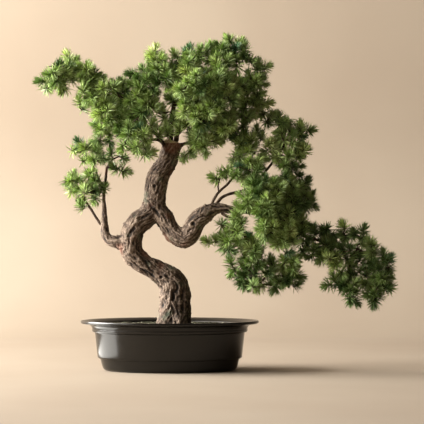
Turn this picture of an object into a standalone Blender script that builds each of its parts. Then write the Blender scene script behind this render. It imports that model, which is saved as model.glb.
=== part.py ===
"""Bonsai tree in an oval tray pot.

A leaning conifer: a twisted trunk with a drooping right-hand limb and a thin left-hand
branch, shoots that carry clumps of short needles, and an oval pot filled with soil under a
thin moss dressing. Metres, +Z up, origin at the centre of the pot's flat base, the long
axis of the pot and the spread of the tree along X.
"""
import math

import bmesh
import bpy
from mathutils import Matrix, Vector

MM = 0.001
CLEARANCE = 0.4          # gap left between touching pieces

# ---------------------------------------------------------------- pot, soil and dressing
POT_ROUND_STEPS = 36
POT_DEPTH_RATIO = 0.72   # oval pot: depth over length
# Half length at the pot's ends against height, from the lip's inner edge down the outside.
POT_OUTSIDE = ((143, 81.3), (145.6, 79.6), (143.5, 77.0), (137, 75.4), (130.5, 72.2), (125.6, 66), (124.6, 62.4),
               (122.4, 59.6), (118.2, 21.5), (113.6, 17.6), (110.8, 7), (108.6, 2.2), (104, 0))
# And down the inside, from the lip to the floor.
POT_INSIDE = ((130.5, 77), (126.6, 73.2), (122.4, 66.5), (115.4, 20), (107.5, 9), (103, 4))

SOIL_TOP = 70.5
DRESSING = 3.0           # thickness of the moss layer at the pot's wall
DRESSING_MOUND = 3.0     # its extra height round the trunk
MOUND_REACH = 52.0       # half length of the mound

# ------------------------------------------------------------------------------ the tree
# Routes are (x, y, z, radius) along each limb, in millimetres.
TRUNK = ((7, 0, 34, 23), (7, 0, 52, 26), (6, 0, 72, 28), (8, 0, 88, 26.2), (9, 0, 105, 25.4), (8, 0, 127, 25.4),
         (2, -2, 145, 23.4), (-22, -4, 163, 18), (-45, -7, 176, 17), (-61, -8, 191, 18.5), (-64, -8, 209, 19.5),
         (-60, -6, 227, 19.3), (-51, -3, 241, 19.3), (-37, 0, 252, 18.6), (-26, 2, 268, 19.6), (-24, 4, 290, 18.3),
         (-22, 5, 308, 19), (-16, 5, 324, 17.9), (-5, 4, 339, 17.2), (0, 3, 357, 16.7), (4, 3, 374, 15))
RIGHT_LIMB = ((-28, 2, 272, 13), (-21, -1, 262, 16.2), (-10, -4, 249, 16.6), (-1, -8, 234, 15.2), (9, -11, 222, 15.7),
              (24, -13, 216, 17), (35, -14, 227, 16.4), (41, -13, 239, 16), (50, -12, 250, 15.6), (61, -10, 257, 14),
              (72, -9, 263, 10.6), (85, -9, 265, 7.9), (102, -9, 262, 6.6), (115, -9, 261, 6.2))
LEFT_BRANCH = ((-69, -8, 204, 13), (-87, -8, 210, 10.8), (-98, -7, 213, 9.3), (-105, -6, 222, 8.2),
               (-107, -5, 236, 6.7), (-107, -4, 250, 5.2), (-107, -3, 265, 4.1), (-108, -2, 281, 3.3),
               (-107, -1, 298, 2.9), (-105, 0, 314, 2.8), (-103, 1, 334, 2.6))
LIMB_SPUR = ((54, -14, 260, 8), (57, -17, 270, 5.6), (59, -18, 277, 3.4))
ROOTS = (((-2, -12, 92, 14), (-16, -14, 82, 11.5), (-24, -16, 68, 8)),
         ((12, -16, 96, 14), (16, -24, 80, 12), (20, -30, 66, 8)),
         ((22, 6, 96, 13), (29, 10, 80, 11), (36, 14, 66, 8)),
         ((-4, 14, 94, 14), (-12, 22, 80, 12), (-18, 30, 66, 8)))

# Shoots plugged into the wood, each carrying clumps of needles.
SHOOTS = {
    "shoot_crown_centre": ((1, 2, 368, 5.2), (2, 0, 393, 4.9), (4, -4, 422, 4.3), (13, -12, 448, 3.3),
                           (30, -24, 468, 2.6), (59, -28, 481, 2)),
    "shoot_crown_back": ((8, 9, 368, 3.6), (14, 18, 403, 3.4), (33, 34, 429, 2.9), (58, 46, 448, 2.3),
                         (85, 48, 455, 2)),
    "shoot_crown_left": ((-4, -2, 360, 3.6), (-21, -8, 385, 3.4), (-33, -10, 393, 3.3), (-44, -12, 401, 3.3),
                         (-52, -12, 411, 3.1), (-62, -12, 426, 2.9), (-78, -14, 445, 2.8), (-101, -14, 458, 2.6),
                         (-128, -6, 465, 2.5), (-154, -2, 475, 2.1), (-183, 0, 480, 1.8)),
    "shoot_crown_right": ((10, 2, 366, 3.4), (17, -2, 409, 3.2), (30, -4, 422, 2.9), (59, -4, 435, 2.6),
                          (95, -4, 445, 2.5), (128, -4, 455, 2)),
    "shoot_crown_low": ((8, -2, 366, 3.4), (28, -6, 371, 3.2), (49, -10, 381, 2.9), (69, -12, 386, 2.5),
                        (95, 0, 393, 2.1)),
    "shoot_crown_fork": ((-6, -4, 366, 2.9), (-19, -16, 377, 2.6), (-33, -26, 376, 2.5), (-52, -34, 376, 2.1),
                         (-72, -36, 376, 1.8)),
    "shoot_limb_top": ((64, -12, 262, 3.1), (77, -12, 288, 2.6), (85, -12, 296, 2.5), (95, -12, 304, 2.3),
                       (105, -12, 317, 2.1), (121, -14, 337, 2), (141, -8, 357, 1.6)),
    "shoot_limb_shoulder": ((71, -5, 264, 3.1), (85, -4, 283, 2.9), (99, -4, 289, 2.8), (115, -2, 291, 2.6),
                            (141, -2, 308, 2.5), (164, -4, 334, 2.3), (184, -6, 363, 2.1), (197, -6, 393, 1.8)),
    "shoot_limb_lone": ((80, -17, 289, 1.8), (78, -18, 304, 1.6), (84, -15, 319, 1.6)),
    "shoot_limb_low": ((84, -12, 257, 3.1), (100, -16, 248, 2.8), (115, -18, 237, 2.6), (125, -20, 213, 2.5),
                       (135, -18, 183, 2.3), (157, -12, 157, 2), (187, -10, 154, 1.6)),
    "shoot_trail": ((110, -9, 261, 4.2), (144, -12, 255, 3.9), (180, -10, 242, 3.6), (220, -4, 219, 3.3),
                    (259, -2, 209, 2.9), (295, -2, 203, 2.5), (328, 0, 186, 2.1), (348, -2, 163, 1.8),
                    (344, 0, 134, 1.6)),
    "shoot_branch_outer": ((-108, -5, 232, 2.8), (-119, -6, 247, 2.5), (-128, -7, 262, 2.3), (-137, -6, 275, 2.1),
                           (-147, -5, 288, 2), (-160, -3, 299, 1.6)),
    "shoot_branch_upper": ((-107, -2, 297, 2), (-118, -6, 317, 1.9), (-124, -8, 332, 1.8), (-134, -8, 347, 1.6),
                           (-147, -4, 357, 1.5)),
    "shoot_branch_inner": ((-103, 2, 331, 1.9), (-95, 7, 345, 1.6), (-83, 9, 350, 1.5)),
}

# Clumps of needles, as the lumps (x, y, z, radius) that each one swells into.
CLUMPS = {
    "needles_left_tip": ((-206, 2, 480, 13), (-200, 0, 468, 16), (-180, -6, 483, 25), (-160, 4, 498, 21),
                         (-170, 6, 458, 15)),
    "needles_left_spray": ((-139, -8, 485, 23), (-121, 10, 478, 21), (-131, -16, 452, 21), (-147, 2, 434, 16)),
    "needles_crown_left": ((-105, -26, 455, 21), (-105, -22, 426, 25), (-114, -12, 398, 18), (-101, -8, 376, 16),
                           (-85, -22, 406, 21)),
    "needles_crown_left_back": ((-85, 24, 462, 21), (-75, 34, 435, 26), (-52, 38, 422, 25), (-69, 24, 403, 21)),
    "needles_crown_left_front": ((-65, -46, 386, 20), (-75, -34, 367, 16), (-49, -40, 367, 18), (-33, -34, 353, 16),
                                 (-39, -44, 386, 18)),
    "needles_crown_shoulder": ((-52, 0, 478, 21), (-69, 6, 468, 16), (-36, -18, 455, 23), (-52, -26, 442, 20),
                               (-33, -30, 429, 20)),
    "needles_crown_peak_left": ((-29, 2, 519, 18), (-16, -12, 498, 23), (-8, -26, 475, 21)),
    "needles_crown_peak_mid": ((13, 8, 504, 20), (30, 0, 521, 18), (49, -12, 514, 20), (33, -22, 491, 21)),
    "needles_crown_peak_right": ((72, 6, 517, 20), (100, 0, 529, 23), (126, -6, 511, 20), (85, -24, 494, 23)),
    "needles_crown_right": ((146, 2, 489, 21), (135, -14, 465, 26), (139, -6, 435, 23), (118, -2, 422, 23)),
    "needles_crown_front": ((20, -52, 455, 21), (46, -60, 465, 25), (76, -56, 465, 23), (102, -44, 455, 21)),
    "needles_crown_front_low": ((26, -42, 419, 20), (53, -50, 412, 25), (79, -50, 429, 23), (92, -38, 403, 21)),
    "needles_crown_back": ((10, 42, 468, 25), (49, 54, 475, 28), (92, 46, 468, 28), (69, 50, 435, 26),
                           (33, 44, 435, 23)),
    "needles_crown_back_low": ((59, 20, 396, 25), (92, 14, 396, 23), (115, 6, 380, 20), (36, 14, 403, 20)),
    "needles_crown_hanging": ((59, -22, 368, 20), (43, -28, 376, 18), (30, -16, 355, 16), (72, -16, 376, 16)),
    "needles_limb_shoulder": ((161, 0, 414, 18), (187, -8, 403, 20), (213, -2, 390, 20), (190, -14, 380, 20)),
    "needles_limb_outer": ((210, -2, 357, 20), (187, -14, 347, 20), (167, -4, 367, 20), (200, -6, 327, 20)),
    "needles_limb_top": ((123, -8, 360, 20), (105, -12, 345, 16), (135, -20, 334, 21), (118, -26, 317, 18)),
    "needles_limb_right": ((213, -6, 301, 23), (226, -2, 272, 21), (200, -28, 278, 23), (187, -26, 304, 23)),
    "needles_limb_front": ((144, -42, 301, 23), (128, -42, 275, 21), (154, -54, 268, 25), (171, -48, 291, 21)),
    "needles_limb_heart": ((187, -44, 245, 25), (154, -48, 232, 25), (184, -42, 213, 23), (213, -26, 232, 21)),
    "needles_limb_back": ((144, 32, 295, 25), (184, 38, 285, 28), (161, 40, 252, 26), (200, 32, 239, 25),
                          (174, 28, 213, 21)),
    "needles_limb_left": ((108, -14, 252, 18), (85, -10, 245, 15), (112, -20, 226, 20), (95, -14, 206, 18),
                          (66, -6, 209, 16)),
    "needles_limb_low": ((138, -26, 193, 21), (102, -10, 170, 16), (118, -8, 147, 20), (138, -18, 160, 21)),
    "needles_limb_bottom": ((161, -14, 170, 21), (151, -4, 139, 18), (177, -8, 144, 20), (198, -4, 154, 21),
                            (197, -22, 180, 21)),
    "needles_trail_start": ((239, 0, 216, 21), (223, -8, 200, 20), (246, -12, 186, 21), (266, 6, 209, 20),
                            (256, -4, 231, 15)),
    "needles_trail_mid": ((292, 8, 219, 18), (311, 2, 219, 18), (272, -12, 177, 20), (295, -4, 186, 18),
                          (282, -2, 200, 18), (285, 6, 232, 15)),
    "needles_trail_low": ((275, 2, 144, 20), (295, -4, 131, 20), (298, 0, 114, 16), (298, 6, 157, 16)),
    "needles_trail_tip": ((331, 6, 196, 20), (354, 0, 177, 20), (344, -8, 154, 18), (321, -2, 177, 18)),
    "needles_trail_end": ((354, 4, 141, 18), (334, -2, 121, 21), (321, 2, 137, 18)),
    "needles_branch_top": ((-155, 2, 358, 15), (-137, -6, 365, 18), (-119, -12, 353, 20), (-141, -2, 344, 13)),
    "needles_branch_inner": ((-94, 9, 351, 15), (-82, 11, 350, 11), (-86, 6, 328, 15)),
    "needles_branch_outer": ((-170, 0, 306, 15), (-154, -6, 313, 16), (-137, -10, 298, 16), (-155, 6, 275, 13)),
    "needles_branch_low": ((-128, -16, 322, 16), (-118, -18, 304, 15), (-123, -12, 281, 15), (-105, -8, 288, 11)),
    "needles_limb_lone": ((85, -14, 322, 15), (99, -12, 327, 11), (76, -16, 308, 8)),
}
LUMP_EXTRA = 1.5         # added to each lump's radius, which the merge below takes off again
SHOOT_SPACING = 14.0     # distance between a shoot's rings
CLUMP_VOXEL = 8.0        # grid on which a clump's lumps are merged
CLUMP_FACES = 120        # triangles left on each clump

# name: (base colour, roughness)
FINISHES = {
    "pot": ((0.016, 0.014, 0.012), 0.32),
    "soil": ((0.045, 0.030, 0.020), 0.95),
    "moss_dressing": ((0.070, 0.085, 0.035), 0.95),
    "wood": ((0.160, 0.105, 0.070), 0.85),
    "shoot": ((0.110, 0.075, 0.045), 0.80),
    "needles": ((0.060, 0.130, 0.030), 0.55),
}


# ------------------------------------------------------------------------------- helpers
def clear_scene():
    for obj in list(bpy.data.objects):
        bpy.data.objects.remove(obj, do_unlink=True)


def finish_material(name):
    """The Principled material of a finish, made the first time it is asked for."""
    if name in bpy.data.materials:
        return bpy.data.materials[name]
    colour, roughness = FINISHES[name]
    material = bpy.data.materials.new(name)
    material.use_nodes = True
    shader = material.node_tree.nodes["Principled BSDF"]
    shader.inputs["Base Color"].default_value = (*colour, 1)
    shader.inputs["Roughness"].default_value = roughness
    shader.inputs["Metallic"].default_value = 0
    return material


def new_object(name, data, collection):
    obj = bpy.data.objects.new(name, data)
    collection.objects.link(obj)
    return obj


def baked(obj):
    """The object with its modifiers applied, as a plain mesh of the same name."""
    depsgraph = bpy.context.evaluated_depsgraph_get()
    mesh = bpy.data.meshes.new_from_object(obj.evaluated_get(depsgraph))
    name, matrix, collection = obj.name, obj.matrix_world.copy(), obj.users_collection[0]
    bpy.data.objects.remove(obj, do_unlink=True)
    result = new_object(name, mesh, collection)
    result.matrix_world = matrix
    return result


def smooth_route(points, spacing):
    """Points about `spacing` mm apart on a Catmull-Rom curve through (x, y, z, radius) points."""
    rows = [Vector(p) for p in points]
    rows = [rows[0] * 2 - rows[1], *rows, rows[-1] * 2 - rows[-2]]
    route = []
    for a, b, c, d in zip(rows, rows[1:], rows[2:], rows[3:]):
        count = max(1, round((c.xyz - b.xyz).length / spacing))
        for i in range(count):
            t = i / count
            route.append(0.5 * (2 * b + (c - a) * t + (2 * a - 5 * b + 4 * c - d) * t ** 2
                                + (3 * b - a - 3 * c + d) * t ** 3))
    route.append(rows[-2])
    return route


def tube(name, points, collection, spacing, resolution=2):
    """A closed tapering tube along a route, as a mesh."""
    curve = bpy.data.curves.new(name, "CURVE")
    curve.dimensions = "3D"
    curve.bevel_depth = MM
    curve.bevel_resolution = resolution
    curve.use_fill_caps = True
    spline = curve.splines.new("POLY")
    route = smooth_route(points, spacing)
    spline.points.add(len(route) - 1)
    for point, row in zip(spline.points, route):
        point.co = (row.x * MM, row.y * MM, row.z * MM, 1)
        point.radius = row.w
    obj = baked(new_object(name, curve, collection))
    bm = bmesh.new()
    bm.from_mesh(obj.data)
    bmesh.ops.remove_doubles(bm, verts=bm.verts, dist=0.00001)
    bmesh.ops.recalc_face_normals(bm, faces=bm.faces)
    bmesh.ops.triangulate(bm, faces=bm.faces)
    bm.to_mesh(obj.data)
    bm.free()
    return obj


def lumps(name, spheres, collection):
    """Overlapping balls in one mesh, for a remesh to merge."""
    bm = bmesh.new()
    for x, y, z, radius in spheres:
        bmesh.ops.create_icosphere(bm, subdivisions=3, radius=(radius + LUMP_EXTRA) * MM,
                                   matrix=Matrix.Translation((x * MM, y * MM, z * MM)))
    mesh = bpy.data.meshes.new(name)
    bm.to_mesh(mesh)
    bm.free()
    return new_object(name, mesh, collection)


def merged(obj, voxel, faces, smoothing):
    """Overlapping shells melted into one skin of about `faces` triangles."""
    remesh = obj.modifiers.new("merge", "REMESH")
    remesh.mode = "VOXEL"
    remesh.voxel_size = voxel * MM
    smooth = obj.modifiers.new("smooth", "SMOOTH")
    smooth.factor = 0.5
    smooth.iterations = smoothing
    obj = baked(obj)
    triangles = sum(len(p.vertices) - 2 for p in obj.data.polygons)
    if triangles > faces:
        thin = obj.modifiers.new("thin", "DECIMATE")
        thin.ratio = faces / triangles
    obj.modifiers.new("flat faces", "TRIANGULATE")
    return baked(obj)


def keep_largest(mesh):
    """Drop every loose scrap but the biggest body."""
    bm = bmesh.new()
    bm.from_mesh(mesh)
    bm.faces.ensure_lookup_table()
    unseen, bodies = set(bm.verts), []
    while unseen:
        stack, body = [unseen.pop()], set()
        while stack:
            vert = stack.pop()
            body.add(vert)
            for edge in vert.link_edges:
                other = edge.other_vert(vert)
                if other in unseen:
                    unseen.remove(other)
                    stack.append(other)
        bodies.append(body)
    bodies.sort(key=len)
    for body in bodies[:-1]:
        bmesh.ops.delete(bm, geom=list(body), context="VERTS")
    bm.to_mesh(mesh)
    bm.free()


def box_of(obj):
    corners = [obj.matrix_world @ Vector(c) for c in obj.bound_box]
    return [(min(c[i] for c in corners), max(c[i] for c in corners)) for i in range(3)]


def boxes_meet(one, other):
    return all(a[0] < b[1] and b[0] < a[1] for a, b in zip(box_of(one), box_of(other)))


def swollen(obj, cutters):
    """A cutter: the piece grown outwards by the clearance."""
    mesh = obj.data.copy()
    mesh.transform(obj.matrix_world)
    cutter = new_object(f"room_for_{obj.name}", mesh, cutters)
    grow = cutter.modifiers.new("grow", "DISPLACE")
    grow.strength = CLEARANCE * MM
    grow.mid_level = 0
    cutter = baked(cutter)
    cutter.hide_render = True
    cutter.display_type = "WIRE"
    return cutter


def fitted(obj, neighbours):
    """The piece cut back from each neighbour's cutter that it meets."""
    meeting = [n for n in neighbours if boxes_meet(obj, n)]
    for neighbour in meeting:
        cut = obj.modifiers.new(f"clear_{neighbour.name}"[:60], "BOOLEAN")
        cut.operation = "DIFFERENCE"
        cut.object = neighbour
    if meeting:
        obj = baked(obj)
        keep_largest(obj.data)
    return obj


def dressed(obj, finish, crease=40):
    obj.data.materials.clear()
    obj.data.materials.append(finish_material(finish))
    obj.data.shade_smooth()
    obj.data.set_sharp_from_angle(angle=math.radians(crease))
    return obj


# -------------------------------------------------------------------------------- pieces
def turned_oval(name, profile, collection):
    """A profile of (half length, height) turned about Z and narrowed to the pot's oval."""
    bm = bmesh.new()
    verts = [bm.verts.new((r * MM, 0, z * MM)) for r, z in profile]
    for a, b in zip(verts, verts[1:]):
        bm.edges.new((a, b))
    mesh = bpy.data.meshes.new(name)
    bm.to_mesh(mesh)
    bm.free()
    obj = new_object(name, mesh, collection)
    screw = obj.modifiers.new("turn", "SCREW")
    screw.steps = screw.render_steps = POT_ROUND_STEPS
    screw.use_merge_vertices = True
    screw.merge_threshold = 0.00001
    obj.modifiers.new("flat faces", "TRIANGULATE")
    obj = baked(obj)
    obj.data.transform(Matrix.Diagonal((1, POT_DEPTH_RATIO, 1, 1)))
    return obj


def make_pot(collection):
    inside = (*reversed(POT_INSIDE), )
    return turned_oval("pot", ((0, POT_INSIDE[-1][1]), *inside, *POT_OUTSIDE, (0, 0)), collection)


def inner_half_length(height):
    """Half length of the pot's inside at a height."""
    for (r1, z1), (r0, z0) in zip(POT_INSIDE, POT_INSIDE[1:]):
        if z0 <= height <= z1:
            return r0 + (r1 - r0) * (height - z0) / (z1 - z0)
    raise ValueError(height)


def make_soil(collection):
    wall = [(r - CLEARANCE * 1.6, z) for r, z in POT_INSIDE[:-1] if z < SOIL_TOP]
    top = (inner_half_length(SOIL_TOP) - CLEARANCE * 1.6, SOIL_TOP)
    floor = POT_INSIDE[-1][1] + CLEARANCE
    return turned_oval("soil", ((0, SOIL_TOP), top, *wall, (POT_INSIDE[-1][0] - 1, floor), (0, floor)), collection)


def make_dressing(collection):
    low = SOIL_TOP + CLEARANCE
    high = low + DRESSING
    mound = [(MOUND_REACH * t, high + DRESSING_MOUND * (1 - t) ** 2 * (1 + 2 * t)) for t in (0, 0.35, 0.7, 1)]
    rim = (inner_half_length(high) - 1.5, high)
    return turned_oval("moss_dressing", (*mound, rim, (inner_half_length(low) - 1.5, low), (0, low)), collection)


def make_trunk(collection):
    """Trunk, right limb and roots melted into one skin, with the thin branch and spur joined on."""
    heavy = [tube("trunk", TRUNK, collection, 8, 4), tube("limb", RIGHT_LIMB[:11], collection, 8, 4)]
    heavy += [tube("root", root, collection, 8, 3) for root in ROOTS]
    bm = bmesh.new()
    for obj in heavy:
        bm.from_mesh(obj.data)
        bpy.data.objects.remove(obj, do_unlink=True)
    mesh = bpy.data.meshes.new("trunk")
    bm.to_mesh(mesh)
    bm.free()
    trunk = merged(new_object("trunk", mesh, collection), 5, 1300, 2)
    thin = [tube("limb_end", RIGHT_LIMB[9:], collection, 10, 2), tube("branch", LEFT_BRANCH, collection, 10, 2),
            tube("spur", LIMB_SPUR, collection, 8, 1)]
    for part in thin:
        join = trunk.modifiers.new("join", "BOOLEAN")
        join.operation = "UNION"
        join.object = part
    trunk = baked(trunk)
    for part in thin:
        bpy.data.objects.remove(part, do_unlink=True)
    keep_largest(trunk.data)
    return trunk


def main():
    clear_scene()
    scene = bpy.context.scene
    tree = bpy.data.collections.new("bonsai_in_pot")
    cutters = bpy.data.collections.new("cutters")
    scene.collection.children.link(tree)
    scene.collection.children.link(cutters)

    dressed(make_pot(tree), "pot", 30)
    trunk = dressed(make_trunk(tree), "wood")
    placed = [swollen(trunk, cutters)]
    for maker, finish in ((make_soil, "soil"), (make_dressing, "moss_dressing")):
        dressed(fitted(maker(tree), placed), finish)
    for name, route in SHOOTS.items():
        shoot = tube(name, route, tree, SHOOT_SPACING, 1)
        room = swollen(shoot, cutters)
        dressed(fitted(shoot, placed), "shoot")
        placed.append(room)
    for name, spheres in CLUMPS.items():
        clump = merged(lumps(name, spheres, tree), CLUMP_VOXEL, CLUMP_FACES, 1)
        room = swollen(clump, cutters)
        dressed(fitted(clump, placed), "needles", 60)
        placed.append(room)


main()
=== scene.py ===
import math

import bmesh
import bpy
import numpy as np
from mathutils import Euler, Matrix, Vector, noise
from mathutils.bvhtree import BVHTree
from mathutils.kdtree import KDTree


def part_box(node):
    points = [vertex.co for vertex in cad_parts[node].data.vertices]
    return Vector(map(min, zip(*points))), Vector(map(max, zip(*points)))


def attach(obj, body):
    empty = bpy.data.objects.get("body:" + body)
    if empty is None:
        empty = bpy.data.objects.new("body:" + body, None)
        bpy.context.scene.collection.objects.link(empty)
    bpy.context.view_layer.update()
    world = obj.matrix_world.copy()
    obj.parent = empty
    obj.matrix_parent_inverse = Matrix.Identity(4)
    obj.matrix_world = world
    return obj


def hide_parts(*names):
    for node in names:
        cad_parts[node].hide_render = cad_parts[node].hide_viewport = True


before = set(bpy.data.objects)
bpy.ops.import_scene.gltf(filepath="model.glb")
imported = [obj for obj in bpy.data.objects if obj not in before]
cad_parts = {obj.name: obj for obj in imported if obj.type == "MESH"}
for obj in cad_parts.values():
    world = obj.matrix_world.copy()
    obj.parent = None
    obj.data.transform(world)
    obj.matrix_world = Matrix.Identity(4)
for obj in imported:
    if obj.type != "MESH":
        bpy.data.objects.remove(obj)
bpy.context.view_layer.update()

MM = 0.001

# ------------------------------------------------------------------ sizes, in millimetres
POT_DEPTH_RATIO = 0.72   # oval pot: depth over length
# The pot's section at its ends as (half length, height): floor, inner wall, lip, outer wall, base.
POT_SECTION = ((0, 4), (98, 4), (104, 5.2), (108.4, 10.4), (115.4, 20), (122.4, 66.5), (124.2, 70.4), (126.8, 73.4),
               (130.6, 76.4), (136.5, 78.9), (141, 80.4), (143.4, 81.2), (144.9, 81), (145.8, 79.9), (145.9, 78.4),
               (145.1, 77), (143.2, 76.1), (139, 75.7), (134, 75), (130.5, 73.6), (128.2, 71.2), (127.1, 68.8),
               (127.4, 66.8), (127.4, 64.7), (126.4, 63), (124.2, 62.2), (122.8, 61.4), (122.3, 59.4), (118.3, 22.2),
               (117.5, 20.5), (115.9, 19.4), (114.2, 18.7), (113.5, 17.6), (110.9, 7.2), (109.5, 3.4), (107.4, 1.2),
               (104.4, 0.2), (102, 0), (0, 0))
POT_TURNS = 144          # facets round the oval

# Routes are (x, y, z, radius) along each limb.
TRUNK = ((7, 0, 34, 23), (7, 0, 52, 26), (6, 0, 72, 28), (8, 0, 88, 26.2), (9, 0, 105, 25.4), (8, 0, 127, 25.4),
         (2, -2, 145, 23.4), (-22, -4, 163, 18), (-45, -7, 176, 17), (-61, -8, 191, 18.5), (-64, -8, 209, 19.5),
         (-60, -6, 227, 19.3), (-51, -3, 241, 19.3), (-37, 0, 252, 18.6), (-26, 2, 268, 19.6), (-24, 4, 290, 18.3),
         (-22, 5, 308, 19), (-16, 5, 324, 17.9), (-5, 4, 339, 17.2), (0, 3, 357, 16.7), (4, 3, 374, 15))
RIGHT_LIMB = ((-28, 2, 272, 13), (-21, -1, 262, 16.2), (-10, -4, 249, 16.6), (-1, -8, 234, 15.2), (9, -11, 222, 15.7),
              (24, -13, 216, 17), (35, -14, 227, 16.4), (41, -13, 239, 16), (50, -12, 250, 15.6), (61, -10, 257, 14),
              (72, -9, 263, 10.6), (85, -9, 265, 7.9), (102, -9, 262, 6.6), (115, -9, 261, 6.2))
LEFT_BRANCH = ((-69, -8, 204, 13), (-87, -8, 210, 10.8), (-98, -7, 213, 9.3), (-105, -6, 222, 8.2),
               (-107, -5, 236, 6.7), (-107, -4, 250, 5.2), (-107, -3, 265, 4.1), (-108, -2, 281, 3.3),
               (-107, -1, 298, 2.9), (-105, 0, 314, 2.8), (-103, 1, 334, 2.6))
LIMB_SPUR = ((54, -14, 259, 7), (57, -16, 267, 3.6), (59, -17, 272, 2.0))
ROOTS = (((-1, -12, 92, 13), (-8, -14, 80, 10.5), (-13, -16, 68, 8)),
         ((12, -14, 96, 12), (16, -19, 80, 11), (19, -24, 66, 8)),
         ((19, 6, 96, 13), (22, 10, 80, 11), (25, 14, 66, 8)),
         ((-2, 12, 94, 13), (-8, 17, 80, 11), (-12, 24, 66, 8)))
TOP_RIM = ((5.5, 3, 370, 13.6), (8.4, 3, 372.8, 15.9), (8.8, 3, 374, 15.7))   # the lip left by the saw
SAWN_DEPTH = 2.2         # how far below the top the wood shows as freshly sawn
BROKEN_TWIGS = (((-3, -9, 352, 6), (-9, -11, 364, 3.6), (-15, -12, 374, 2.4)),
                ((30, -20, 226, 4), (36, -22, 232, 2.2)))
BARK_VOXEL = 1.25        # grid on which the limbs are melted into one
BARK_TWIST = 0.010       # how fast the grain winds round the wood, radians per millimetre
# Dark knot holes and raised scars in the bark: (x, y, z, radius, depth in)
KNOTS = ((-25, -14, 301, 3.4, 2.6), (-62, -27, 248, 8.0, -1.6), (-58, -26, 252, 3.6, 2.0), (38, -30, 240, 4.0, 2.2),
         (-30, -16, 172, 3.4, 2.4), (-14, -22, 152, 3.0, 2.2), (26, -24, 110, 3.2, 2.0))
RUST_SPOT = Vector((-6, -12, 365))   # reddest place, where a branch was torn off under the top
RUST_SPOT_SPREAD = 30    # square of its reach, in square millimetres

NEEDLE_LENGTH = 17.0
NEEDLE_WIDTH = 1.6
NEEDLES_PER_TUFT = 60
NEEDLE_TURN = 2.39996    # golden angle, which spreads needles evenly round their stem
TUFT_SHAPES = 6
TUFT_STEM = 9.0          # length of stem that bears a tuft's needles
# Tufts fill the foliage in turns: (least distance apart, nearest and farthest depth under its outside, tries)
TUFT_TURNS = ((12.2, 10.5, 15.5, 2800), (13.0, 7.0, 12.5, 1400), (14.5, 4.0, 8.0, 600), (17.0, 15.5, 28.0, 300))
TUFT_CELL = 20           # side of the cubes in which near neighbours are looked up
TRUNK_CLEAR = 11         # least distance from a tuft's heart to the trunk
COVER_REACH = 7          # a skin is covered where another clump holds the point this far outside it
TRAIL_SHADE_START = 170        # where along x painted shade starts to darken the trailing limb's tufts
TRAIL_SHADE_LENGTH = 110       # and how far it takes to reach its darkest
# Single tufts on bare stretches of shoot: (x, y, z)
LOOSE_TUFTS = ((-6, -16, 398), (8, -22, 411), (25, -18, 402), (20, -14, 434), (2, -16, 441), (-16, -12, 424),
               (33, -14, 424), (-29, -14, 402), (-17, -18, 384), (-38, -14, 386), (36, -16, 382), (14, 20, 408),
               (-3, -20, 388), (15, -25, 392), (142, -5, 389), (134, -13, 377), (150, 6, 381), (312, -6, 164),
               (301, 6, 158), (322, 5, 156),
               (124, -18, 199), (112, -16, 208), (136, -20, 209), (106, -24, 251), (117, -26, 240), (128, -26, 262),
               (113, -24, 265), (148, -16, 198), (118, 10, 205), (132, 14, 214), (122, -12, 184), (256, -12, 205),
               (-10, 18, 415), (28, 20, 425), (-24, 16, 396), (8, 14, 440))
TWIG_RADIUS = 1.0

SOIL_LEVEL = 73.9        # top of the dressing at the pot's wall
DRESSING_HALF = 124.5    # half length of the dressing
DRESSING_THICK = 2.4
MOUND = 3.0              # extra height of the dressing round the trunk
MOUND_REACH = 52
CHIP_CLEAR = 27          # no chips within this distance of the trunk's middle


# ----------------------------------------------------------------------------- helpers
def srgb(code):
    """Linear colour of an sRGB hex code."""
    parts = [int(code[i:i + 2], 16) / 255 for i in (1, 3, 5)]
    return (*[c / 12.92 if c <= 0.04045 else ((c + 0.055) / 1.055) ** 2.4 for c in parts], 1)


def add(material, kind, inputs=None, stops=None, **settings):
    """Adds a node with its settings. Inputs, by a socket's name or number, are a socket to link, a value
    or a hex colour; stops are a colour ramp's (place, hex colour) pairs."""
    node = material.node_tree.nodes.new(kind)
    for key, value in settings.items():
        setattr(node, key, value)
    for i, (place, code) in enumerate(stops or ()):
        stop = node.color_ramp.elements[i] if i < 2 else node.color_ramp.elements.new(place)
        stop.position, stop.color = place, srgb(code)
    for key, value in (inputs or {}).items():
        if isinstance(value, bpy.types.NodeSocket):
            material.node_tree.links.new(value, node.inputs[key])
        else:
            node.inputs[key].default_value = srgb(value) if isinstance(value, str) else value
    return node.outputs


def new_material(name):
    """An empty node material."""
    material = bpy.data.materials.new(name)
    material.use_nodes = True
    material.node_tree.nodes.clear()
    return material


def piece_from(bm, name, material, smooth_angle=None):
    """An object from a finished bmesh."""
    mesh = bpy.data.meshes.new(name)
    bm.to_mesh(mesh)
    bm.free()
    return piece_of(mesh, name, material, smooth_angle)


def piece_of(mesh, name, material, smooth_angle=None):
    """An object from a mesh, shaded smooth but for edges sharper than smooth_angle degrees."""
    obj = bpy.data.objects.new(name, mesh)
    bpy.context.scene.collection.objects.link(obj)
    mesh.materials.clear()
    if material:
        mesh.materials.append(material)
    if smooth_angle:
        mesh.shade_smooth()
        mesh.set_sharp_from_angle(angle=math.radians(smooth_angle))
    return obj


def with_modifiers_applied(obj):
    """The object's evaluated mesh, with the object itself removed."""
    depsgraph = bpy.context.evaluated_depsgraph_get()
    mesh = bpy.data.meshes.new_from_object(obj.evaluated_get(depsgraph))
    bpy.data.objects.remove(obj, do_unlink=True)
    return mesh


def merged_copy(node_name):
    """A welded copy of a CAD node's mesh, whose triangles come loose."""
    bm = bmesh.new()
    bm.from_mesh(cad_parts[node_name].data)
    bmesh.ops.remove_doubles(bm, verts=bm.verts, dist=0.00002)
    return bm


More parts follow.
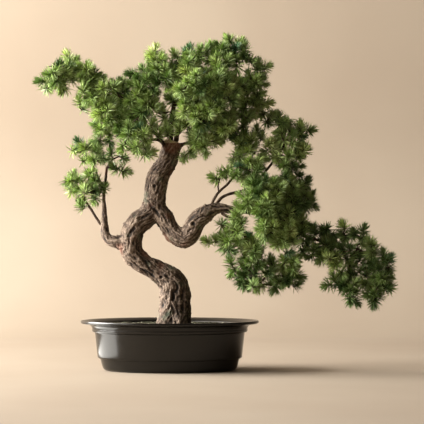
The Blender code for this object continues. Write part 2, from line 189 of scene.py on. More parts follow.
def smooth_route(points, spacing):
    """Points about `spacing` mm apart on a Catmull-Rom curve through (x, y, z, radius) points."""
    rows = [Vector(p) for p in points]
    rows = [rows[0] * 2 - rows[1], *rows, rows[-1] * 2 - rows[-2]]
    route = []
    for a, b, c, d in zip(rows, rows[1:], rows[2:], rows[3:]):
        count = max(1, round((c.xyz - b.xyz).length / spacing))
        for i in range(count):
            t = i / count
            route.append(0.5 * (2 * b + (c - a) * t + (2 * a - 5 * b + 4 * c - d) * t ** 2
                                + (3 * b - a - 3 * c + d) * t ** 3))
    route.append(rows[-2])
    return route


def tubes(name, routes, resolution):
    """One mesh of closed tubes, each along its own list of (x, y, z, radius) points in millimetres."""
    curve = bpy.data.curves.new(name, "CURVE")
    curve.dimensions = "3D"
    curve.bevel_depth = MM
    curve.bevel_resolution = resolution
    curve.use_fill_caps = True
    for route in routes:
        spline = curve.splines.new("POLY")
        spline.points.add(len(route) - 1)
        for point, row in zip(spline.points, route):
            point.co = (row[0] * MM, row[1] * MM, row[2] * MM, 1)
            point.radius = row[3]
    obj = bpy.data.objects.new(name, curve)
    bpy.context.scene.collection.objects.link(obj)
    mesh = with_modifiers_applied(obj)
    bm = bmesh.new()
    bm.from_mesh(mesh)
    bmesh.ops.remove_doubles(bm, verts=bm.verts, dist=0.000005)
    bm.normal_update()
    bmesh.ops.recalc_face_normals(bm, faces=bm.faces)
    bm.to_mesh(mesh)
    bm.free()
    return mesh


def set_values(mesh, name, values):
    """Stores one number per vertex as an attribute that a material reads."""
    mesh.attributes.new(name, "FLOAT", "POINT").data.foreach_set("value", np.asarray(values, np.float32))


# --------------------------------------------------------------------------- materials
def moulded_polypropylene():
    """Injection-moulded black polypropylene: a satin skin that mirrors a window softly, with the
    faint unevenness of the mould (6 mm) and a thin dust that dulls it in clouds (9 mm)."""
    m = new_material("moulded_polypropylene")
    place = add(m, "ShaderNodeTexCoord")["Object"]
    dust = add(m, "ShaderNodeTexNoise", {"Vector": place, "Scale": 110, "Detail": 5, "Roughness": 0.65})["Fac"]
    swell = add(m, "ShaderNodeTexNoise", {"Vector": place, "Scale": 165, "Detail": 2})["Fac"]
    colour = add(m, "ShaderNodeValToRGB", {"Fac": dust}, ((0.35, "#0c0a07"), (0.75, "#14110d")))["Color"]
    rough = add(m, "ShaderNodeMapRange", {"Value": dust, "From Min": 0.3, "From Max": 0.8, "To Min": 0.16,
                                          "To Max": 0.25})["Result"]
    bump = add(m, "ShaderNodeBump", {"Height": swell, "Distance": 0.00001})["Normal"]
    shader = add(m, "ShaderNodeBsdfPrincipled", {"Base Color": colour, "Roughness": rough, "Normal": bump, "IOR": 1.5,
                                                 "Specular IOR Level": 0.38})["BSDF"]
    add(m, "ShaderNodeOutputMaterial", {"Surface": shader})
    return m


def ridged_bark():
    """Old conifer bark: flaky grey-brown ridges with a pinkish cast over near-black furrows, rust-red
    patches (26 mm), a little green algae (17 mm) and dry pale fibres on the crests (2 mm)."""
    m = new_material("ridged_bark")
    place = add(m, "ShaderNodeTexCoord")["Object"]
    crest = add(m, "ShaderNodeAttribute", attribute_name="crest")["Fac"]
    cut = add(m, "ShaderNodeAttribute", attribute_name="cut_wood")["Fac"]
    rust = add(m, "ShaderNodeAttribute", attribute_name="rust")["Fac"]
    algae = add(m, "ShaderNodeAttribute", attribute_name="algae")["Fac"]
    fibre = add(m, "ShaderNodeTexNoise", {"Vector": place, "Scale": 480, "Detail": 5, "Roughness": 0.65})["Fac"]
    level = add(m, "ShaderNodeMath", {0: fibre, 1: 0.75, 2: crest}, operation="MULTIPLY_ADD")["Value"]
    level = add(m, "ShaderNodeMath", {0: level, 1: 0.37}, operation="SUBTRACT")["Value"]
    wood = add(m, "ShaderNodeValToRGB", {"Fac": level}, ((0.10, "#090604"), (0.95, "#8b7968"), (0.32, "#20170f"),
                                                         (0.52, "#3e3024"), (0.72, "#625143")))["Color"]
    reddish = add(m, "ShaderNodeMix", {0: 0.4, 6: wood, 7: "#77452f"}, data_type="RGBA")[2]
    greenish = add(m, "ShaderNodeMix", {0: 0.3, 6: wood, 7: "#5b6a54"}, data_type="RGBA")[2]
    wood = add(m, "ShaderNodeMix", {0: rust, 6: wood, 7: reddish}, data_type="RGBA")[2]
    wood = add(m, "ShaderNodeMix", {0: algae, 6: wood, 7: greenish}, data_type="RGBA")[2]
    sawn = add(m, "ShaderNodeValToRGB", {"Fac": fibre}, ((0.3, "#8d7355"), (0.7, "#c8b393")))["Color"]
    colour = add(m, "ShaderNodeMix", {0: cut, 6: wood, 7: sawn}, data_type="RGBA")[2]
    bump = add(m, "ShaderNodeBump", {"Height": fibre, "Distance": 0.0011, "Strength": 0.9})["Normal"]
    shader = add(m, "ShaderNodeBsdfPrincipled", {"Base Color": colour, "Normal": bump, "Roughness": 0.78,
                                                 "Specular IOR Level": 0.35})["BSDF"]
    add(m, "ShaderNodeOutputMaterial", {"Surface": shader})
    return m


def twig_bark():
    """Thin dark brown shoots, rough at 3.5 mm, a little greyer where the light has dried them."""
    m = new_material("twig_bark")
    place = add(m, "ShaderNodeTexCoord")["Object"]
    spots = add(m, "ShaderNodeTexNoise", {"Vector": place, "Scale": 285, "Detail": 4, "Roughness": 0.6})["Fac"]
    colour = add(m, "ShaderNodeValToRGB", {"Fac": spots}, ((0.3, "#1d150e"), (0.85, "#7d6b58"),
                                                           (0.55, "#423122")))["Color"]
    bump = add(m, "ShaderNodeBump", {"Height": spots, "Distance": 0.0005, "Strength": 0.7})["Normal"]
    shader = add(m, "ShaderNodeBsdfPrincipled", {"Base Color": colour, "Normal": bump, "Roughness": 0.8,
                                                 "Specular IOR Level": 0.3})["BSDF"]
    add(m, "ShaderNodeOutputMaterial", {"Surface": shader})
    return m


def moulded_polyethylene_needles():
    """Soft polyethylene needles, thin enough to let some light through: fresh green along their length with painted
    shade darkening them at the heart of a tuft, paler or dry brown at the tips, with whole tufts that run to
    yellow-green or blue-green."""
    m = new_material("moulded_polyethylene_needles")
    run = add(m, "ShaderNodeAttribute", attribute_name="along_needle")["Fac"]
    tuft = add(m, "ShaderNodeAttribute", attribute_name="tuft_tone")["Fac"]
    single = add(m, "ShaderNodeAttribute", attribute_name="needle_tone")["Fac"]
    body = add(m, "ShaderNodeValToRGB", {"Fac": tuft}, (
        (0.0, "#78a77c"), (1.0, "#ecf6ae"), (0.08, "#6a8a4c"), (0.25, "#98b66c"), (0.5, "#bcd585"),
        (0.75, "#d2e794")))["Color"]
    # Painted shade: this ramp darkens each needle towards its base, at the heart of the tuft.
    depth = add(m, "ShaderNodeValToRGB", {"Fac": run}, ((0.0, "#807f68"), (0.5, "#ffffff")))["Color"]
    each = add(m, "ShaderNodeValToRGB", {"Fac": single}, ((0.0, "#a8ac96"), (1.0, "#ffffff")))["Color"]
    green = add(m, "ShaderNodeMix", {0: 1.0, 6: body, 7: depth}, data_type="RGBA", blend_type="MULTIPLY")[2]
    green = add(m, "ShaderNodeMix", {0: 1.0, 6: green, 7: each}, data_type="RGBA", blend_type="MULTIPLY")[2]
    dryness = add(m, "ShaderNodeMapRange", {"Value": run, "From Min": 0.62, "From Max": 1.0, "To Max": 0.55})["Result"]
    dry = add(m, "ShaderNodeValToRGB", {"Fac": single}, ((0.0, "#5e4426"), (1.0, "#c0cb8a"), (0.3, "#86803f"),
                                                         (0.6, "#a2b269")))["Color"]
    colour = add(m, "ShaderNodeMix", {0: dryness, 6: green, 7: dry}, data_type="RGBA")[2]
    skin = add(m, "ShaderNodeBsdfPrincipled", {"Base Color": colour, "Roughness": 0.45, "IOR": 1.45,
                                               "Specular IOR Level": 0.5})["BSDF"]
    glow = add(m, "ShaderNodeBsdfTranslucent", {"Color": colour})["BSDF"]
    shader = add(m, "ShaderNodeMixShader", {0: 0.4, 1: skin, 2: glow})["Shader"]
    add(m, "ShaderNodeOutputMaterial", {"Surface": shader})
    return m


def dry_moss():
    """Matted moss over grit: dark olive clouds (14 mm) with lighter dry flecks (2.4 mm)."""
    m = new_material("dry_moss")
    place = add(m, "ShaderNodeTexCoord")["Object"]
    fleck = add(m, "ShaderNodeTexNoise", {"Vector": place, "Scale": 420, "Detail": 5, "Roughness": 0.7})["Fac"]
    cloud = add(m, "ShaderNodeTexNoise", {"Vector": place, "Scale": 70, "Detail": 2})["Fac"]
    green = add(m, "ShaderNodeValToRGB", {"Fac": fleck}, ((0.3, "#15160c"), (0.78, "#77785a"), (0.55, "#30351d")))
    brown = add(m, "ShaderNodeValToRGB", {"Fac": fleck}, ((0.3, "#120d09"), (0.8, "#857e69"), (0.6, "#352b1e")))
    colour = add(m, "ShaderNodeMix", {0: cloud, 6: green["Color"], 7: brown["Color"]}, data_type="RGBA")[2]
    bump = add(m, "ShaderNodeBump", {"Height": fleck, "Distance": 0.0012})["Normal"]
    shader = add(m, "ShaderNodeBsdfPrincipled", {"Base Color": colour, "Normal": bump, "Roughness": 0.95,
                                                 "Specular IOR Level": 0.2})["BSDF"]
    add(m, "ShaderNodeOutputMaterial", {"Surface": shader})
    return m


def washed_grit():
    """Crushed stone chips, grey-green and buff, each chip its own tone with 1 mm specks."""
    m = new_material("washed_grit")
    tone = add(m, "ShaderNodeAttribute", attribute_name="chip_tone")["Fac"]
    place = add(m, "ShaderNodeTexCoord")["Object"]
    speck = add(m, "ShaderNodeTexNoise", {"Vector": place, "Scale": 1100, "Detail": 3})["Fac"]
    chips = add(m, "ShaderNodeValToRGB", {"Fac": tone}, ((0.0, "#24231c"), (1.0, "#b3ad98"), (0.4, "#45483a"),
                                                         (0.7, "#6b6d58")))["Color"]
    specks = add(m, "ShaderNodeValToRGB", {"Fac": speck}, ((0.35, "#3a382f"), (0.7, "#b9b39f")))["Color"]
    colour = add(m, "ShaderNodeMix", {0: 0.35, 6: chips, 7: specks}, data_type="RGBA", blend_type="OVERLAY")[2]
    bump = add(m, "ShaderNodeBump", {"Height": speck, "Distance": 0.00015, "Strength": 0.7})["Normal"]
    shader = add(m, "ShaderNodeBsdfPrincipled", {"Base Color": colour, "Normal": bump, "Roughness": 0.85,
                                                 "Specular IOR Level": 0.3})["BSDF"]
    add(m, "ShaderNodeOutputMaterial", {"Surface": shader})
    return m


def potting_soil():
    """Damp potting soil: near-black crumbs about 3 mm across."""
    m = new_material("potting_soil")
    place = add(m, "ShaderNodeTexCoord")["Object"]
    crumbs = add(m, "ShaderNodeTexNoise", {"Vector": place, "Scale": 330, "Detail": 5, "Roughness": 0.7})["Fac"]
    colour = add(m, "ShaderNodeValToRGB", {"Fac": crumbs}, ((0.3, "#120d09"), (0.8, "#4b3b2d"),
                                                            (0.6, "#2c2119")))["Color"]
    bump = add(m, "ShaderNodeBump", {"Height": crumbs, "Distance": 0.001})["Normal"]
    shader = add(m, "ShaderNodeBsdfPrincipled", {"Base Color": colour, "Normal": bump, "Roughness": 0.95,
                                                 "Specular IOR Level": 0.2})["BSDF"]
    add(m, "ShaderNodeOutputMaterial", {"Surface": shader})
    return m


def painted_plaster(name, open_behind):
    """Pale matt paint on plaster, in faint clouds 420 mm across; open_behind clears it seen from its back."""
    m = new_material(name)
    place = add(m, "ShaderNodeTexCoord")["Object"]
    cloud = add(m, "ShaderNodeTexNoise", {"Vector": place, "Scale": 2.4, "Detail": 3})["Fac"]
    colour = add(m, "ShaderNodeValToRGB", {"Fac": cloud}, ((0.3, "#8a7c6c"), (0.7, "#918474")))["Color"]
    shader = add(m, "ShaderNodeBsdfPrincipled", {"Base Color": colour, "Roughness": 0.9,
                                                 "Specular IOR Level": 0.2})["BSDF"]
    if open_behind:
        rear = add(m, "ShaderNodeNewGeometry")["Backfacing"]
        clear = add(m, "ShaderNodeBsdfTransparent")["BSDF"]
        shader = add(m, "ShaderNodeMixShader", {0: rear, 1: shader, 2: clear})["Shader"]
    add(m, "ShaderNodeOutputMaterial", {"Surface": shader})
    return m


POT_PLASTIC = moulded_polypropylene()
BARK = ridged_bark()
TWIG = twig_bark()
NEEDLE = moulded_polyethylene_needles()
MOSS = dry_moss()
GRIT = washed_grit()
SOIL = potting_soil()
FLOOR = painted_plaster("painted_floor", False)
WALL = painted_plaster("painted_wall", True)


# --------------------------------------------------------------------------------- pot
def make_pot():
    """The pot: its section spun round, then squeezed to an oval."""
    bm = bmesh.new()
    ring = [bm.verts.new((r * MM, 0, z * MM)) for r, z in POT_SECTION]
    edges = [bm.edges.new(pair) for pair in zip(ring, ring[1:])]
    bmesh.ops.spin(bm, geom=ring + edges, axis=(0, 0, 1), cent=(0, 0, 0), angle=2 * math.pi, steps=POT_TURNS,
                   use_merge=True)
    bmesh.ops.remove_doubles(bm, verts=bm.verts, dist=0.00001)
    bmesh.ops.scale(bm, vec=(1, POT_DEPTH_RATIO, 1), verts=bm.verts)
    bm.normal_update()
    bmesh.ops.recalc_face_normals(bm, faces=bm.faces)
    pot = piece_from(bm, "moulded_pot", POT_PLASTIC, 35)
    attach(pot, "root")
    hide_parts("pot")


# ---------------------------------------------------------------------- soil and dressing
def dressing_height(x, y):
    """Height of the moss at a place, in millimetres, with its mound round the trunk."""
    reach = min(1, math.hypot(x - 6, y / POT_DEPTH_RATIO) / MOUND_REACH)
    mound = MOUND * (1 - reach) ** 2 * (1 + 2 * reach)
    rough = noise.noise(Vector((x / 9, y / 9, 3.1))) * 0.9 + noise.noise(Vector((x / 3, y / 3, 8.7))) * 0.5
    return SOIL_LEVEL + mound + rough - 0.6


def make_dressing():
    """The moss layer: an oval sheet with the dressing's heights, given a thickness."""
    bm = bmesh.new()
    bmesh.ops.create_grid(bm, x_segments=110, y_segments=80, size=DRESSING_HALF * MM)
    bmesh.ops.scale(bm, vec=(1, POT_DEPTH_RATIO, 1), verts=bm.verts)
    outside = [v for v in bm.verts
               if math.hypot(v.co.x, v.co.y / POT_DEPTH_RATIO) > DRESSING_HALF * MM]
    bmesh.ops.delete(bm, geom=outside, context="VERTS")
    for v in bm.verts:
        v.co.z = dressing_height(v.co.x / MM, v.co.y / MM) * MM
    bmesh.ops.solidify(bm, geom=bm.faces[:], thickness=DRESSING_THICK * MM)
    bm.normal_update()
    bmesh.ops.recalc_face_normals(bm, faces=bm.faces)
    moss = piece_from(bm, "matted_moss", MOSS, 60)
    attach(moss, "root")
    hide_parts("moss_dressing")


def scatter_chips(name, count, sizes, seed, material, flatness, tone_range):
    """Small stones or moss crumbs lying on the dressing, each with its own tone."""
    random = np.random.default_rng(seed)
    chip = bmesh.new()
    bmesh.ops.create_icosphere(chip, subdivisions=1, radius=1)
    for v in chip.verts:
        v.co *= 1 + 0.22 * noise.noise(v.co * 1.7 + Vector((seed, 0, 0)))
    template = bpy.data.meshes.new(name)
    chip.to_mesh(template)
    chip.free()
    bm = bmesh.new()
    tones = []
    while len(tones) < count:
        x, y = random.uniform(-DRESSING_HALF, DRESSING_HALF), random.uniform(-90, 90)
        if math.hypot(x, y / POT_DEPTH_RATIO) > DRESSING_HALF - 3 or math.hypot(x - 7, y) < CHIP_CLEAR:
            continue
        size = random.uniform(*sizes)
        place = Matrix.Translation(Vector((x, y, dressing_height(x, y) + size * flatness * 0.35)) * MM)
        turn = Euler(random.uniform(0, 6.28, 3)).to_matrix().to_4x4()
        squash = Matrix.Diagonal((*(random.uniform(0.7, 1.2, 2) * size * MM), size * flatness * MM, 1))
        copy = template.copy()
        copy.transform(place @ squash @ turn)
        bm.from_mesh(copy)
        bpy.data.meshes.remove(copy)
        tones.append(random.uniform(*tone_range))
    each = len(template.vertices)
    bpy.data.meshes.remove(template)
    chips = piece_from(bm, name, material, 50)
    set_values(chips.data, "chip_tone", np.repeat(tones, each))
    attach(chips, "root")


# -------------------------------------------------------------------------------- bark
def wood_routes():
    """Every limb's route with a point each millimetre."""
    return [smooth_route(r, 1.0) for r in (TRUNK, RIGHT_LIMB, LEFT_BRANCH, LIMB_SPUR, *ROOTS)]


def route_frames(route):
    """Along a route: distance run, and two axes across it carried without turning, then wound by the twist."""
    runs, frames = [0.0], []
    across = Vector((0, 1, 0))
    for i, row in enumerate(route):
        ahead = (route[min(i + 1, len(route) - 1)].xyz - route[max(i - 1, 0)].xyz).normalized()
        across = (across - ahead * across.dot(ahead)).normalized()
        if i:
            runs.append(runs[-1] + (row.xyz - route[i - 1].xyz).length)
        wound = Matrix.Rotation(runs[-1] * BARK_TWIST, 3, ahead) @ across
        frames.append((wound, ahead.cross(wound)))
    return runs, frames


def bark_relief(u, v, s, girth, place):
    """Height of the bark in millimetres at a place across (u, v) and along (s) the wood, and its tone.
    Each term's divisors are its width across and along the grain, in millimetres."""
    weight = max(0.3, min(1.0, girth / 14))
    warp = noise.noise(place / 17) * 5
    sinew = 1 - abs(noise.noise(Vector((u / 12, v / 12, (s + warp) / 62)))) * 2.6
    ridge = 1 - abs(noise.noise(Vector(((u + warp) / 4.6 + 7, v / 4.6, s / 24)))) * 2.8
    fibre = 1 - abs(noise.noise(Vector((u / 2.1, (v + warp) / 2.1 + 3, s / 9)))) * 2.6
    flake = noise.noise(place / 3.2)
    lump = noise.noise(place / 9.5 + Vector((5, 1, 9)))
    nub = max(0.0, noise.noise(place / 5.5 + Vector((31, 7, 2))) - 0.45) * 6
    flute = max(0.0, min(1.0, (140 - place.z) / 55)) * weight
    height = (sinew * (1.1 + 1.9 * flute) + ridge * (1.15 + 0.8 * flute) + fibre * 0.6 + flake * 0.75
              + lump * 1.0 + nub)
    # The tone follows the relief, darker in the furrows and lighter on the crests, and is made darker towards the base
    # of the trunk.
    tone = 0.40 + 0.12 * sinew + 0.26 * ridge + 0.20 * fibre + 0.22 * flake + 0.12 * lump
    return (height - 2.0) * weight, tone - 0.12 * flute


def make_wood():
    """The trunk and its limbs: tubes melted into one skin, raised into bark along the grain."""
    routes = wood_routes()
    bm = bmesh.new()
    bm.from_mesh(tubes("wood", [r[::4] + [r[-1]] for r in routes] + [TOP_RIM, *BROKEN_TWIGS], 7))
    blank = piece_from(bm, "wood", None)
    melt = blank.modifiers.new("melt", "REMESH")
    melt.mode = "VOXEL"
    melt.voxel_size = BARK_VOXEL * MM
    even = blank.modifiers.new("even", "SMOOTH")
    even.factor = 0.5
    even.iterations = 9
    mesh = with_modifiers_applied(blank)

    tree = KDTree(sum(len(r) for r in routes))
    rows = []
    for route in routes:
        runs, frames = route_frames(route)
        for row, run, (a, b) in zip(route, runs, frames):
            tree.insert(row.xyz, len(rows))
            rows.append((row, run + 500 * (route is routes[1]), a, b))
    tree.balance()
    top = Vector(TRUNK[-1][:3])
    crests, cuts, rusts, algaes = [], [], [], []
    outward = [v.normal.copy() for v in mesh.vertices]
    for v, normal in zip(mesh.vertices, outward):
        place = v.co / MM
        near = min(tree.find_n(place, 5), key=lambda hit: hit[2] - rows[hit[1]][0].w)
        row, run, a, b = rows[near[1]]
        off = place - row.xyz
        height, tone = bark_relief(off.dot(a), off.dot(b), run, row.w, place)
        cut = 1.0 if place.z > top.z - SAWN_DEPTH and (place.xy - top.xy).length < 22 else 0.0
        rust = noise.noise(place / 24 + Vector((3, 3, 3))) * 3.0 - 0.8
        rust += 1.8 * math.exp(-(place - RUST_SPOT).length_squared / RUST_SPOT_SPREAD)
        algaes.append(max(0.0, min(1.0, noise.noise(place / 16 + Vector((9, 0, 4))) * 4 - 1.5)))
        rusts.append(max(0.0, min(1.0, rust)))
        for x, y, z, radius, depth in KNOTS:
            apart = (place - Vector((x, y, z))).length / radius
            if apart < 1.9:
                hollow = max(0.0, 1 - apart ** 2)
                rim = math.exp(-((apart - 1.25) / 0.3) ** 2)
                height += rim * 1.1 - hollow * depth
                tone += rim * 0.15 - hollow * 0.5 * (depth > 0)
        v.co += normal * height * (1 - cut) * MM
        crests.append(max(0.0, min(1.0, tone)))
        cuts.append(cut)
    set_values(mesh, "crest", crests)
    set_values(mesh, "cut_wood", cuts)
    set_values(mesh, "rust", rusts)
    set_values(mesh, "algae", algaes)
    wood = piece_of(mesh, "trunk_bark", BARK, 75)
    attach(wood, "root")
    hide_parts("trunk")


# --------------------------------------------------------------------- shoots and twigs
def make_shoot(node_name):
    """A shoot rounded from its CAD node, with knobbly bark."""
    blank = piece_from(merged_copy(node_name), "blank", None)
    round_off = blank.modifiers.new("round", "SUBSURF")
    round_off.levels = round_off.render_levels = 2
    mesh = with_modifiers_applied(blank)
    outward = [v.normal.copy() for v in mesh.vertices]
    for v, normal in zip(mesh.vertices, outward):
        place = v.co / MM
        v.co += normal * (noise.noise(place / 5) * 0.45 + noise.noise(place / 1.8) * 0.2) * MM
    shoot = piece_of(mesh, node_name.replace("shoot_", "bark_shoot_"), TWIG, 70)
    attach(shoot, "root")
    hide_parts(node_name)


def outside_of(skins):
    """Points on the clumps' skins that no other clump covers, as a search tree."""
    open_points = []
    for name, (_, skin, _, _) in skins.items():
        bmesh.ops.subdivide_edges(skin, edges=skin.edges[:], cuts=2, use_grid_fill=True)
        for v in skin.verts:
            probe = v.co + v.normal * COVER_REACH * MM
            covered = False
            for other, (other_tree, _, other_low, other_high) in skins.items():
                if other == name or any(not a < p < b for a, p, b in zip(other_low, probe, other_high)):
                    continue
                surface, normal, _, _ = other_tree.find_nearest(probe)
                if (probe - surface).dot(normal) < 0:
                    covered = True
                    break
            if not covered:
                open_points.append(v.co.copy())
        skin.free()
    outside = KDTree(len(open_points))
    for i, point in enumerate(open_points):
        outside.insert(point, i)
    outside.balance()
    return outside


def place_tufts(names, random):
    """Hearts and outward axes of every clump's tufts, spread evenly just under the foliage's outside."""
    skins = {}
    for name in names:
        skin = merged_copy(name)
        low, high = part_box(name)
        skins[name] = (BVHTree.FromBMesh(skin), skin, low, high)
    outside = outside_of(skins)
    trunk = merged_copy("trunk")
    old_wood = BVHTree.FromBMesh(trunk)
    trunk.free()
    places = {name: [] for name in names}
    cells = {}
    cell = TUFT_CELL * MM
    for apart, near, far, tries in TUFT_TURNS:
        for name in names:
            tree, _, low, high = skins[name]
            for spot in random.uniform(low, high, (tries, 3)):
                point = Vector(spot)
                surface, normal, _, _ = tree.find_nearest(point)
                if (point - surface).dot(normal) > 0:
                    continue
                edge, _, depth = outside.find(point)
                if not near * MM < depth < far * MM or old_wood.find_nearest(point)[3] < TRUNK_CLEAR * MM:
                    continue
                key = tuple(int(math.floor(c / cell)) for c in point)
                around = (cells.get((key[0] + i, key[1] + j, key[2] + k), ())
                          for i in (-1, 0, 1) for j in (-1, 0, 1) for k in (-1, 0, 1))
                if any((point - other).length < apart * MM for group in around for other in group):
                    continue
                cells.setdefault(key, []).append(point)
                axis = (point - edge).normalized() * -1 + Vector(random.normal(0, 0.28, 3))
                axis += Vector((0, -0.05, 0.3))
                places[name].append((point, axis.normalized()))
    return places


def needle_mesh():
    """One needle along +Z: a slim three-sided blade with a point, bent a little towards -X. Returns the
    mesh and each vertex's place along it from 0 to 1."""
    bm = bmesh.new()
    bmesh.ops.create_cone(bm, cap_ends=True, segments=3, radius1=0.5, radius2=0.0, depth=1,
                          matrix=Matrix.Translation((0, 0, 0.5)))
    bmesh.ops.remove_doubles(bm, verts=bm.verts, dist=0.001)
    long_edges = [e for e in bm.edges if abs(e.verts[0].co.z - e.verts[1].co.z) > 0.5]
    bmesh.ops.subdivide_edges(bm, edges=long_edges, cuts=1)
    for v in bm.verts:
        middle = 0.2 < v.co.z < 0.8
        if middle:
            v.co.x, v.co.y, v.co.z = v.co.x * 2.4, v.co.y * 2.4, 0.58
        v.co.x *= NEEDLE_WIDTH * 0.62
        v.co.y *= NEEDLE_WIDTH
        v.co.x -= 0.13 * NEEDLE_LENGTH * v.co.z ** 2
        v.co.z *= NEEDLE_LENGTH
        v.co *= MM
    bm.normal_update()
    bmesh.ops.recalc_face_normals(bm, faces=bm.faces)
    mesh = bpy.data.meshes.new("needle")
    bm.to_mesh(mesh)
    bm.free()
    return mesh, np.array([v.co.z for v in mesh.vertices]) / (NEEDLE_LENGTH * MM)


def tuft_shape(needle, run, seed):
    """A tuft: needles all round the end of a stem that runs along +Z. Returns the mesh, and for each
    vertex its place along its needle and its needle's tone."""
    random = np.random.default_rng(seed)
    bm = bmesh.new()
    tones = []
    for i in range(NEEDLES_PER_TUFT):
        share = (i + 0.5) / NEEDLES_PER_TUFT
        lean = math.radians(112 - 104 * share ** 0.85) + random.normal(0, 0.10)
        around = i * NEEDLE_TURN + random.normal(0, 0.15)
        length = random.uniform(0.84, 1.06) * (0.80 + 0.22 * math.sin(min(lean, 1.57)))
        turn = Matrix.Rotation(around, 4, "Z") @ Matrix.Rotation(lean, 4, "Y")
        start = Matrix.Translation((0, 0, (share - 0.55) * TUFT_STEM * MM))
        blade = needle.copy()
        spin = Matrix.Rotation(random.normal(0, 0.5), 4, "Z")
        blade.transform(start @ turn @ Matrix.Diagonal((1, 1, length, 1)) @ spin)
        bm.from_mesh(blade)
        bpy.data.meshes.remove(blade)
        tones.append(random.uniform(0, 1))
    mesh = bpy.data.meshes.new("tuft")
    bm.to_mesh(mesh)
    bm.free()
    return mesh, np.tile(run, NEEDLES_PER_TUFT), np.repeat(tones, len(run))


def make_clump(node_name, places, shapes, random):
    """One clump of needles: its tufts joined into a single piece."""
    bm = bmesh.new()
    runs, singles, tones = [], [], []
    for heart, axis in places:
        mesh, run, single = shapes[random.integers(len(shapes))]
        tuft = mesh.copy()
        turn = axis.to_track_quat("Z", "Y").to_matrix().to_4x4()
        turn = turn @ Matrix.Rotation(random.uniform(0, 6.28), 4, "Z")
        tuft.transform(Matrix.Translation(heart) @ turn @ Matrix.Scale(random.uniform(0.88, 1.08), 4))
        bm.from_mesh(tuft)
        bpy.data.meshes.remove(tuft)
        tone = 0.50 + 0.55 * noise.noise(heart / (42 * MM)) + random.normal(0, 0.16)
        # Painted shade: the tufts out on the trailing limb are darkened, as the tree's right side lies in shade.
        tone -= 0.32 * max(0.0, min(1.0, (heart.x / MM - TRAIL_SHADE_START) / TRAIL_SHADE_LENGTH))
        tone = random.uniform(0, 0.05) if random.random() < 0.04 else max(0.09, min(1, tone))
        runs.append(run)
        singles.append(single)
        tones.append(np.full(len(run), tone))
    clump = piece_from(bm, node_name.replace("needles_", "tufts_"), NEEDLE, 60)
    for name, values in (("along_needle", runs), ("needle_tone", singles), ("tuft_tone", tones)):
        set_values(clump.data, name, np.concatenate(values))
    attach(clump, "root")
    if node_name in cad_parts:
        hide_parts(node_name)


def twig_routes(places, wood, random):
    """Twigs of one clump: each tuft joined to the nearest one already reached from the wood."""
    routes = []
    links = {}
    for i, (heart, _) in enumerate(places):
        spot, _, apart = wood.find(heart)
        links[i] = (apart * 1.2, spot)   # a tuft joins another tuft sooner than the wood
    while links:
        i = min(links, key=lambda k: links[k][0])
        _, start = links.pop(i)
        heart, axis = places[i]
        knee = heart - axis * 6 * MM
        middle = (start + knee) / 2 + Vector(random.normal(0, 1.2, 3)) * MM
        tip = heart + axis * 3 * MM
        routes.append([(*(p / MM), r * TWIG_RADIUS) for p, r in ((start, 1.3), (middle, 1.15), (knee, 1.0),
                                                                 (tip, 0.8))])
        for j in links:
            apart = (places[j][0] - heart).length
            if apart < links[j][0]:
                links[j] = (apart, heart - axis * 3 * MM)
    return routes


def make_crown():
    """All the foliage, with the twigs and shoots that carry it."""
    needle, run = needle_mesh()
    shapes = [tuft_shape(needle, run, 100 + i) for i in range(TUFT_SHAPES)]
    woody = [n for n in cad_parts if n.startswith("shoot_") or n == "trunk"]
    spots = [v.co.copy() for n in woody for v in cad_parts[n].data.vertices]
    wood = KDTree(len(spots))
    for i, spot in enumerate(spots):
        wood.insert(spot, i)
    wood.balance()
    random = np.random.default_rng(5)
    names = sorted(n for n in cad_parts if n.startswith("needles_"))
    places = place_tufts(names, random)
    routes = []
    for name in names:
        make_clump(name, places[name], shapes, random)
        routes += twig_routes(places[name], wood, random)
    loose = [(Vector(p) * MM, Vector((*random.normal(0, 0.5, 2), 1)).normalized()) for p in LOOSE_TUFTS]
    make_clump("needles_on_shoots", loose, shapes, random)
    routes += twig_routes(loose, wood, random)
    mesh = tubes("twigs", [smooth_route(r, 5) for r in routes], 0)
    twigs = piece_of(mesh, "fine_twigs", TWIG, 60)
    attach(twigs, "root")
    for node_name in sorted(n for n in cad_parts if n.startswith("shoot_")):
        make_shoot(node_name)


# -------------------------------------------------------------------- stage and lights
def make_stage():
    """A pale floor, and a wall that rises from it in a soft cove behind."""
    bend, back = 0.45, 1.35
    bm = bmesh.new()
    bmesh.ops.create_grid(bm, x_segments=1, y_segments=1, size=9)
    bmesh.ops.translate(bm, vec=(0, 0, -0.0005), verts=bm.verts)
    piece_from(bm, "floor", FLOOR)
    bm = bmesh.new()
    section = [Vector((-4, back - bend + bend * math.sin(a), bend - bend * math.cos(a)))
               for a in np.linspace(0, math.pi / 2, 13)] + [Vector((-4, back, 3.2))]
    verts = [bm.verts.new(p) for p in section]
    edges = [bm.edges.new(pair) for pair in zip(verts, verts[1:])]
    side = bmesh.ops.extrude_edge_only(bm, edges=edges)["geom"]
    bmesh.ops.translate(bm, vec=(8, 0, 0), verts=[g for g in side if isinstance(g, bmesh.types.BMVert)])
    bm.normal_update()
    turned_away = [f for f in bm.faces if f.normal.y > f.normal.z]   # the wall's face looks to -Y, its foot up
    bmesh.ops.reverse_faces(bm, faces=turned_away)
    piece_from(bm, "wall", WALL, 40)


def add_light(name, place, aim, width, height, watts, colour):
    """A soft rectangular light, as from a window."""
    light = bpy.data.lights.new(name, "AREA")
    light.shape = "RECTANGLE"
    light.size, light.size_y = width, height
    light.energy = watts
    light.color = colour
    lamp = bpy.data.objects.new(name, light)
    lamp.location = place
    lamp.rotation_euler = (Vector(aim) - Vector(place)).to_track_quat("-Z", "Y").to_euler()
    lamp.visible_camera = False
    bpy.context.scene.collection.objects.link(lamp)
    return lamp


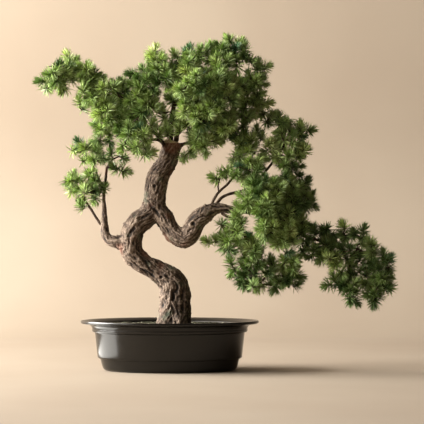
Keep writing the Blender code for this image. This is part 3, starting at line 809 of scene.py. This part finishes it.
def make_lights():
    """A window at the left, weak fills, and a card that only glossy surfaces mirror."""
    add_light("window", (-2.4, 0.05, 1.0), (0, 0.0, 0.3), 2.1, 1.8, 430, (1.0, 0.985, 0.95))
    add_light("wall_wash", (-0.9, 0.62, 1.9), (0.2, 1.35, 0.3), 1.6, 0.5, 16, (1.0, 0.9, 0.78))
    add_light("ceiling_bounce", (0.3, -1.4, 2.6), (0.1, 0.1, 0.2), 2.6, 2.2, 4, (1.0, 0.92, 0.82))
    add_light("front_fill", (-2.5, -1.7, 1.5), (0.05, 0, 0.32), 1.5, 1.5, 62, (1.0, 0.97, 0.9))
    card = add_light("reflector_card", (-0.328, -0.037, 0.004), (-0.328, -0.037, 1), 0.35, 0.18, 1.25,
                     (1.0, 0.98, 0.92))
    card.rotation_euler = (math.pi, 0, math.radians(16.4))
    card.visible_diffuse = False
    world = bpy.data.worlds.new("room")
    world.use_nodes = True
    world.node_tree.nodes.clear()
    seen = add(world, "ShaderNodeLightPath")["Is Camera Ray"]
    strength = add(world, "ShaderNodeMath", {0: seen, 1: 0.5, 2: 0.12}, operation="MULTIPLY_ADD")["Value"]
    air = add(world, "ShaderNodeBackground", {"Color": "#d9c8b4", "Strength": strength})["Background"]
    add(world, "ShaderNodeOutputWorld", {"Surface": air})
    bpy.context.scene.world = world


def make_camera():
    """Level camera at the tree's mid height, far back with a long lens."""
    camera = bpy.data.cameras.new("camera")
    camera.sensor_width = 36
    camera.lens = 183.8
    eye = bpy.data.objects.new("camera", camera)
    eye.location = (0.069, -3.545, 0.2585)
    eye.rotation_euler = (math.pi / 2, 0, 0)
    bpy.context.scene.collection.objects.link(eye)
    bpy.context.scene.camera = eye
    bpy.context.scene.view_settings.view_transform = "Standard"


make_stage()
make_lights()
make_camera()
make_pot()
make_dressing()
scatter_chips("grit_chips", 900, (0.9, 2.0), 21, GRIT, 0.75, (0, 1))
scatter_chips("moss_crumbs", 500, (1.4, 3.2), 22, MOSS, 0.6, (0, 1))
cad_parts["soil"].data.materials.clear()
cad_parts["soil"].data.materials.append(SOIL)
make_wood()
make_crown()
